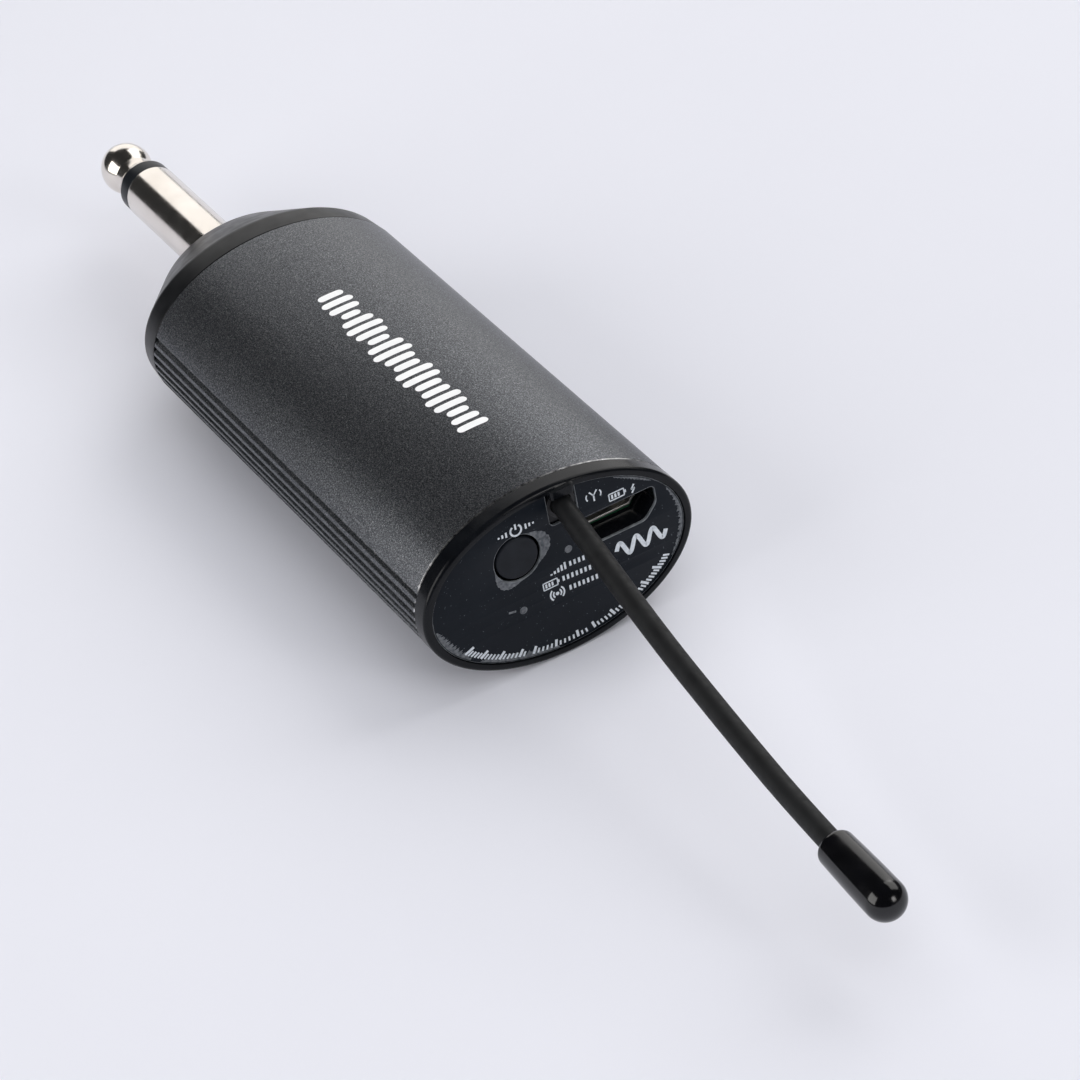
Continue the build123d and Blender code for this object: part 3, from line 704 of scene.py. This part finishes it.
def plate_mesh(name, outlines, x0, x1, bevel):
    """A flat plate in Y and Z with holes, its front edges bevelled, from outlines in millimetres."""
    curve = bpy.data.curves.new(name, "CURVE")
    curve.dimensions = "2D"
    curve.fill_mode = "BOTH"
    curve.extrude = (x1 - x0) / 2 * MM - bevel * MM
    curve.bevel_depth = bevel * MM
    curve.bevel_resolution = 1
    curve.offset = -bevel * MM
    for outline in outlines:
        spline = curve.splines.new("POLY")
        spline.points.add(len(outline) - 1)
        for point, (y, z) in zip(spline.points, outline):
            point.co = (y * MM, z * MM, 0, 1)
        spline.use_cyclic_u = True
    holder = bpy.data.objects.new(name, curve)
    bpy.context.scene.collection.objects.link(holder)
    bpy.context.view_layer.update()
    evaluated = holder.evaluated_get(bpy.context.evaluated_depsgraph_get())
    mesh = bpy.data.meshes.new_from_object(evaluated)
    bpy.data.objects.remove(holder)
    turn = Matrix(((0, 0, 1, (x0 + x1) / 2 * MM), (1, 0, 0, 0), (0, 1, 0, 0), (0, 0, 0, 1)))
    mesh.transform(turn)
    mesh.materials.clear()
    weld(mesh)
    return mesh


def circle(y, z, radius, steps=96):
    return arc_points((y, z), radius, 0, 360 * (steps - 1) / steps, steps - 1)


def make_label():
    """The printed plate, with its cut edges in a paler finish that paints their highlight."""
    holes = [circle(BUTTON_Y, BUTTON_Z, BUTTON_HOLE_R), port_outline()]
    for window in INDICATORS:
        low, high = node_box(window)
        middle = (low + high) / 2
        holes.append(circle(middle.y, middle.z, LIGHT_HOLE_R, 32))
    mesh = plate_mesh("label_skin", [plate_outline()] + holes, SEAT_X, PLATE_X, PLATE_BEVEL)
    finish_mesh(mesh, 25)
    # Edge, bevel and hole-wall faces take the pale finish, a painted highlight along the plate's edges.
    for face in mesh.polygons:
        if abs(face.normal.x) < 0.95:
            face.material_index = 1
    add_piece("label_skin", mesh, "housing", [film_finish, film_edge_highlight_finish], ["label_plate"])


# ---------------------------------------------------------------- print on the label and the tube
class Print:
    """Thin flat strokes, gathered into one mesh on the label's face."""

    def __init__(self, x, thick=0.02):
        self.x = x
        self.thick = thick
        self.points = []
        self.faces = []

    def strip(self, left, right, closed=False):
        """A band between two rows of (y, z) points, with a front, a back and sides."""
        base = len(self.points)
        for (ly, lz), (ry, rz) in zip(left, right):
            self.points += [(self.x, ly, lz), (self.x, ry, rz)]
            self.points += [(self.x + self.thick, ly, lz), (self.x + self.thick, ry, rz)]
        count = len(left)
        for i in range(count if closed else count - 1):
            a = base + 4 * i
            b = base + 4 * ((i + 1) % count)
            self.faces += [(a + 2, a + 3, b + 3, b + 2), (a + 1, a, b, b + 1)]
            self.faces += [(a, a + 2, b + 2, b), (a + 3, a + 1, b + 1, b + 3)]
        if not closed:
            last = base + 4 * (count - 1)
            self.faces += [(base, base + 1, base + 3, base + 2), (last + 1, last, last + 2, last + 3)]

    def line(self, points, width, closed=False):
        """A stroke of even width along (y, z) points."""
        points = [np.array(p, float) for p in points]
        count = len(points)
        left = []
        right = []
        for i, point in enumerate(points):
            before = points[i - 1] if i or closed else point
            after = points[(i + 1) % count] if i < count - 1 or closed else point
            along = (after - before) / np.linalg.norm(after - before)
            across = np.array((-along[1], along[0])) * width / 2
            left.append(tuple(point + across))
            right.append(tuple(point - across))
        self.strip(left, right, closed)

    def disc(self, y, z, radius):
        rim = arc_points((y, z), radius, 0, 360 * 23 / 24, 23)
        self.strip(rim, [(y + (a - y) * 0.02, z + (b - z) * 0.02) for a, b in rim], closed=True)

    def arc(self, y, z, radius, start, end, width):
        self.line(arc_points((y, z), radius, start, end, 24), width)

    def add(self, name, material):
        mesh = bpy.data.meshes.new(name)
        mesh.from_pydata(to_metres(self.points), [], self.faces)
        add_piece(name, mesh, "housing", [material])


def power_symbol(ink, y, z, radius):
    ink.arc(y, z, radius, 125, 415, radius * 0.34)
    ink.line([(y, z + radius * 0.15), (y, z + radius * 1.25)], radius * 0.34)


def antenna_symbol(ink, y, z, size):
    """A mast with a forked head and a wave on each side."""
    ink.line([(y, z - size), (y, z + size * 0.2)], size * 0.28)
    ink.line([(y - size * 0.7, z + size), (y, z + size * 0.1), (y + size * 0.7, z + size)], size * 0.28)
    for side, start in ((1, -40), (-1, 140)):
        ink.arc(y + side * size * 0.5, z + size * 0.1, size * 0.9, start, start + 80, size * 0.24)


def battery_symbol(ink, y, z, width, height, filled):
    """A cell outline with its terminal and a number of filled bars."""
    line = height * 0.16
    half = (width / 2, height / 2)
    corners = [(y - half[0], z - half[1]), (y + half[0], z - half[1]), (y + half[0], z + half[1]),
               (y - half[0], z + half[1])]
    for start, end in zip(corners, corners[1:] + corners[:1]):
        ink.line([start, end], line)
    ink.line([(y + half[0] + line, z - height * 0.2), (y + half[0] + line, z + height * 0.2)], line * 1.4)
    for bar in range(filled):
        bar_y = y - half[0] + width * (0.2 + 0.22 * bar)
        ink.line([(bar_y, z - height * 0.28), (bar_y, z + height * 0.28)], width * 0.13)


def bolt_symbol(ink, y, z, height):
    ink.line([(y + height * 0.18, z + height / 2), (y - height * 0.16, z)], height * 0.2)
    ink.line([(y - height * 0.24, z), (y + height * 0.24, z)], height * 0.18)
    ink.line([(y + height * 0.16, z), (y - height * 0.18, z - height / 2)], height * 0.2)


def bars_symbol(ink, y, z, pitch, height, count):
    """Bars that rise to the right."""
    for bar in range(count):
        top = z + height * (bar + 1) / count
        ink.line([(y + pitch * bar, z), (y + pitch * bar, top)], pitch * 0.55)


def carrier_wave(ink, y0, y1, z, height, periods, width):
    steps = 24 * periods
    points = []
    for step in range(steps + 1):
        t = step / steps
        points.append((y0 + (y1 - y0) * t, z + height / 2 * math.sin(2 * math.pi * periods * t)))
    ink.line(points, width)


def row_symbol(ink, row, y, z):
    """An icon, and dots that lead from it to the indicator it explains."""
    if row == 0:
        bars_symbol(ink, y + 0.15, z - 0.4, 0.4, 0.85, 5)
    elif row == 1:
        battery_symbol(ink, y + 0.85, z, 1.6, 0.8, 3)
    else:
        ink.disc(y + 0.85, z, 0.2)
        for radius in (0.45, 0.78):
            ink.arc(y + 0.85, z, radius, -48, 48, 0.17)
            ink.arc(y + 0.85, z, radius, 132, 228, 0.17)
    for dot in range(7):
        dot_y = y + 2.35 + 0.5 * dot
        dot_z = z - 0.03 * dot
        ink.line([(dot_y, dot_z - 0.28), (dot_y, dot_z + 0.28)], 0.24)


def scale_ticks(ink):
    """Ticks along the lower edge of the plate, in three runs, with every fifth one longer."""
    for start, end in ((212, 246), (251, 277), (281, 331)):
        count = round((end - start) / 2.1)
        for tick in range(count + 1):
            a = math.radians(start + (end - start) * tick / count)
            direction = (PLATE_Y * math.cos(a), PLATE_Z * math.sin(a))
            inner = 0.868 if tick % 5 == 0 else 0.9
            ends = [(direction[0] * k, direction[1] * k) for k in (inner, 0.955)]
            ink.line(ends, 0.28 if tick % 5 == 0 else 0.2)


def make_label_print():
    """Plain symbols and tick marks on the rear face."""
    ink = Print(PLATE_X)
    power_symbol(ink, -3.75, 6.72, 0.6)
    for side in (-1, 1):
        for step in range(3):
            near = -3.75 + side * (1.1 + 0.42 * step)
            ink.line([(near, 6.4 + 0.1 * step), (near, 7.0 - 0.1 * step)], 0.2)
    antenna_symbol(ink, 5.05, 6.5, 0.6)
    battery_symbol(ink, 7.5, 5.42, 1.7, 0.8, 3)
    bolt_symbol(ink, 9.35, 5.28, 0.95)
    carrier_wave(ink, 6.4, 12.1, -1.05, 1.6, 3, 0.48)
    for row, (y, z) in enumerate([(-1.1, 0.15), (-2.1, -1.2), (-1.55, -2.6)]):
        row_symbol(ink, row, y, z)
    scale_ticks(ink)
    ink.add("label_print", ink_finish)


def ragged(step, scale):
    """A repeatable uneven number between 0 and scale."""
    return scale * (0.5 + 0.28 * math.sin(2.3 * step) + 0.22 * math.sin(5.1 * step + 1.3))


def make_residue():
    """Dried adhesive: two lobes beside the button, patches on the plate's edge and two small smears."""
    film = Print(PLATE_X, 0.012)
    for start, end, reach in ((-38, 62, 1.15), (192, 272, 0.85)):
        inner = []
        outer = []
        for step in range(33):
            t = step / 32
            a = math.radians(start + (end - start) * t)
            grow = reach * math.sin(math.pi * t) ** 1.6 * (0.85 + ragged(step, 0.2))
            direction = np.array((math.cos(a), math.sin(a)))
            centre = np.array((BUTTON_Y, BUTTON_Z))
            inner.append(tuple(centre + direction * (BUTTON_HOLE_R + 0.09)))
            outer.append(tuple(centre + direction * (BUTTON_HOLE_R + 0.13 + grow)))
        film.strip(inner, outer)
    for start, end, reach in ((184, 218, 0.075), (224, 264, 0.10), (-30, 24, 0.04), (36, 58, 0.03)):
        inner = []
        outer = []
        for step in range(61):
            t = step / 60
            a = math.radians(start + (end - start) * t)
            grow = reach * math.sin(math.pi * t) ** 0.5 * (0.25 + ragged(step, 0.75))
            outer.append((PLATE_Y * 0.988 * math.cos(a), PLATE_Z * 0.982 * math.sin(a)))
            inner.append((PLATE_Y * (0.985 - grow) * math.cos(a), PLATE_Z * (0.979 - grow) * math.sin(a)))
        film.strip(outer, inner)
    film.disc(-4.6, -2.7, 0.42)
    film.line([(-6.2, -2.25), (-5.4, -2.4)], 0.24)
    film.disc(1.35, 1.86, 0.42)
    film.add("adhesive_residue", adhesive_finish)


def make_tube_print():
    """A plain sound-wave mark in rounded bars along the top of the tube."""
    start = 27.3
    pitch = 1.55
    count = 21
    half_width = 0.5
    lift = 0.02
    points = []
    faces = []
    for bar in range(count):
        swell = 0.55 + 0.45 * math.sin(math.pi * (bar + 0.5) / count)
        half = 0.5 + 1.25 * swell * abs(math.sin(0.83 * bar + 0.6)) ** 0.8
        x = start + pitch * bar
        top = arc_points((x, half), half_width, 0, 180, 8)
        bottom = arc_points((x, -half), half_width, 180, 360, 8)
        heights = [half - 2 * half * k / 8 for k in range(1, 8)]
        left = top[4:] + [(x - half_width, y) for y in heights] + bottom[:5]
        right = top[4::-1] + [(x + half_width, y) for y in heights] + bottom[:3:-1]
        base = len(points)
        for (lx, ly), (rx, ry) in zip(left, right):
            for px, py in ((lx, ly), (rx, ry)):
                z = TUBE_Z * math.sqrt(1 - (py / TUBE_Y) ** 2)
                points += [(px, py, z - 0.01), (px, py, z + lift)]
        for i in range(len(left) - 1):
            a = base + 4 * i
            b = a + 4
            faces += [(a + 1, a + 3, b + 3, b + 1), (a, b, b + 2, a + 2)]
            faces += [(a, a + 1, b + 1, b), (a + 2, b + 2, b + 3, a + 3)]
    mesh = bpy.data.meshes.new("tube_print")
    mesh.from_pydata(to_metres(points), [], faces)
    weld(mesh)
    add_piece("tube_print", mesh, "housing", [tube_ink_finish])


# ---------------------------------------------------------------- button
def make_button():
    """The round key: a hidden flange, a rounded edge and a slightly dished face."""
    flange_x = key_low.x
    flange_top = flange_x + BUTTON_FLANGE
    points = [
        (flange_x, 0.02), (flange_x, BUTTON_FLANGE_R), (flange_top, BUTTON_FLANGE_R),
        (flange_top, BUTTON_R), (PLATE_X, BUTTON_R), (PLATE_X - 0.06, 0.02),
    ]
    profile = soften(points, [0.1, 0.1, 0.0, 0.28])
    rings = oval_rings([(x, r, r) for x, r in profile], 96)
    rings = [[(x, y + BUTTON_Y, z + BUTTON_Z) for x, y, z in ring] for ring in rings]
    mesh = ring_mesh("button_key", rings, closed=False)
    finish_mesh(mesh, 40)
    add_piece("button_key", mesh, "button", [key_finish], ["power_button"])


# ---------------------------------------------------------------- antenna
def route_points(count=160):
    """Points along the whip's smooth line, read from a NURBS spline through the route."""
    curve = bpy.data.curves.new("whip_line", "CURVE")
    curve.dimensions = "3D"
    spline = curve.splines.new("NURBS")
    route = WHIP_ROUTE + [WHIP_TIP]
    spline.points.add(len(route) - 1)
    for point, place in zip(spline.points, route):
        point.co = (*(Vector(place) * MM), 1)
    spline.order_u = 3
    spline.use_endpoint_u = True
    curve.resolution_u = count // len(route)
    holder = bpy.data.objects.new("whip_line", curve)
    mesh = bpy.data.meshes.new_from_object(holder)
    points = [np.array(v.co) / MM for v in mesh.vertices]
    bpy.data.objects.remove(holder)
    bpy.data.meshes.remove(mesh)
    return points


def ring_round(centre, radius, side, up, segments):
    """A ring of points round a centre, in the plane of two unit vectors."""
    angles = [2 * math.pi * j / segments for j in range(segments)]
    return [tuple(centre + radius * (side * math.cos(a) + up * math.sin(a))) for a in angles]


def tube_rings(points, radii, segments=48):
    """Rings square to a path, with no twist along it."""
    rings = []
    side = np.array((0.0, 1.0, 0.0))
    for i, (point, radius) in enumerate(zip(points, radii)):
        ahead = points[min(i + 1, len(points) - 1)] - points[max(i - 1, 0)]
        ahead = ahead / np.linalg.norm(ahead)
        side = side - ahead * (side @ ahead)
        side = side / np.linalg.norm(side)
        rings.append(ring_round(point, radius, side, np.cross(ahead, side), segments))
    return rings


def rounded_root(points):
    """Points and radii for the half ball at the whip's root, ahead of its line."""
    back = points[0] - points[1]
    back = back / np.linalg.norm(back)
    centres = []
    radii = []
    root_r = WHIP_R - ROOT_SLIM
    for step in range(10):
        a = math.pi / 2 * (step + 0.15) / 10.15
        centres.append(points[0] + back * root_r * math.cos(a))
        radii.append(root_r * math.sin(a))
    return centres, radii


def make_whip():
    """The rubber whip, a little slimmer at its root so that it can bend in its bush."""
    line = route_points()
    centres, ball_radii = rounded_root(line)
    line_radii = []
    for point in line:
        grown = min((point[0] - WHIP_ROUTE[0][0]) / ROOT_TAPER, 1.0)
        line_radii.append(WHIP_R - ROOT_SLIM * (1 - grown))
    rings = tube_rings(centres + line, ball_radii + line_radii)
    mesh = ring_mesh("whip_skin", rings, closed=False)
    finish_mesh(mesh, 40)
    add_piece("whip_skin", mesh, "antenna", [rubber_finish], ["antenna_sleeve"])


def make_tip_cap():
    """The dipped cap: a soft back lip, a slight swell and a round end."""
    tip = np.array(WHIP_TIP)
    along = tip - np.array(WHIP_ROUTE[-1])
    along = along / np.linalg.norm(along)
    back = tip - along * TIP_CAP_LENGTH
    lip = 0.62
    profile = [(0.35, WHIP_R - 0.05), (0.02, WHIP_R + 0.02)]
    for step in range(1, 11):
        a = math.pi / 2 * step / 10
        profile.append((lip * (1 - math.cos(a)), TIP_CAP_BACK_R - lip + lip * math.sin(a)))
    for step in range(1, 17):
        t = step / 16
        swell = TIP_CAP_BACK_R + (TIP_CAP_R - TIP_CAP_BACK_R) * math.sin(t * math.pi / 2)
        profile.append((lip + (TIP_CAP_LENGTH - lip) * t, swell))
    for step in range(1, 25):
        a = math.pi / 2 * step / 24
        profile.append((TIP_CAP_LENGTH + TIP_CAP_R * math.sin(a), max(TIP_CAP_R * math.cos(a), 0.01)))
    side = np.cross(along, (0.0, 0.0, 1.0))
    side = side / np.linalg.norm(side)
    up = np.cross(side, along)
    rings = [ring_round(back + along * x, radius, side, up, 96) for x, radius in profile]
    mesh = ring_mesh("tip_cap_skin", rings, closed=False)
    finish_mesh(mesh, 40)
    add_piece("tip_cap_skin", mesh, "antenna", [vinyl_finish], ["antenna_tip_cap"])


make_tube()
make_collar()
make_plug()
make_label()
make_label_print()
make_residue()
make_tube_print()
make_button()
make_whip()
make_tip_cap()


# ---------------------------------------------------------------- floor, lights and camera
def make_floor():
    """A plain sheet of pale paper under the object."""
    size = 1.6
    mesh = bpy.data.meshes.new("floor")
    z = FLOOR_Z * MM
    corners = [(-size, -size, z), (size, -size, z), (size, size, z), (-size, size, z)]
    mesh.from_pydata(corners, [], [(0, 1, 2, 3)])
    material = new_material("floor_paper", (0.80, 0.81, 0.885), 0.7)
    vary_colour(material, 60.0, (0.795, 0.805, 0.878), (0.81, 0.82, 0.892))
    mesh.materials.append(material)
    floor = bpy.data.objects.new("floor", mesh)
    bpy.context.scene.collection.objects.link(floor)


# Light on the floor that all the shares add up from.
FLOOR_LIGHT = 3.32


def add_light(name, azimuth, elevation, distance, width, height, share, colour, mirrored=True):
    """A soft box that faces the body and gives the floor a share of its light.

    The azimuth is measured from +X towards +Y. A box that is not mirrored lights surfaces but
    doesn't show in glossy ones."""
    a = math.radians(azimuth)
    e = math.radians(elevation)
    target = Vector((0.05, 0.0, 0.0))
    out = Vector((math.cos(e) * math.cos(a), math.cos(e) * math.sin(a), math.sin(e)))
    data = bpy.data.lights.new(name, "AREA")
    data.shape = "RECTANGLE"
    data.size = width
    data.size_y = height
    data.energy = share * FLOOR_LIGHT * math.pi * distance ** 2 / math.sin(e)
    data.color = colour
    light = bpy.data.objects.new(name, data)
    light.location = target + out * distance
    light.rotation_euler = out.to_track_quat("Z", "Y").to_euler()
    light.visible_glossy = mirrored
    bpy.context.scene.collection.objects.link(light)


def make_lights():
    """A dark room with soft boxes round the object."""
    world = bpy.data.worlds.new("studio")
    bpy.context.scene.world = world
    world.use_nodes = True
    background = world.node_tree.nodes["Background"]
    background.inputs["Color"].default_value = (0.95, 0.97, 1.0, 1.0)
    background.inputs["Strength"].default_value = 0.03
    warm = (1.0, 0.985, 0.97)
    white = (0.985, 0.99, 1.0)
    add_light("left_softbox", -98, 24, 0.9, 0.75, 0.6, 0.20, warm)
    add_light("back_right_softbox", 152, 23, 1.1, 1.3, 0.8, 0.13, warm)
    add_light("right_softbox", 100, 42, 1.0, 0.9, 0.7, 0.24, warm)
    add_light("front_right_softbox", 20, 22, 0.9, 0.25, 0.3, 0.05, warm)
    add_light("front_softbox", -10, 46, 1.3, 1.4, 0.9, 0.28, white, mirrored=False)
    add_light("ceiling_softbox", 120, 82, 1.5, 1.9, 1.9, 0.32, white, mirrored=False)


def make_camera():
    """A long lens, above and to one side of the rear face."""
    data = bpy.data.cameras.new("camera")
    data.sensor_width = 36.0
    data.lens = 149.97
    data.clip_start = 0.01
    data.clip_end = 10.0
    camera = bpy.data.objects.new("camera", data)
    right = Vector((0.4897, 0.8576, -0.1573)).normalized()
    back = Vector((0.7456, -0.3183, 0.5855)).normalized()
    up = back.cross(right)
    turn = Matrix((right, up, back)).transposed().to_4x4()
    camera.matrix_world = Matrix.Translation(Vector((399.7, -141.04, 261.18)) * MM) @ turn
    bpy.context.scene.collection.objects.link(camera)
    bpy.context.scene.camera = camera


make_floor()
make_lights()
make_camera()
bpy.context.scene.view_settings.view_transform = "Standard"
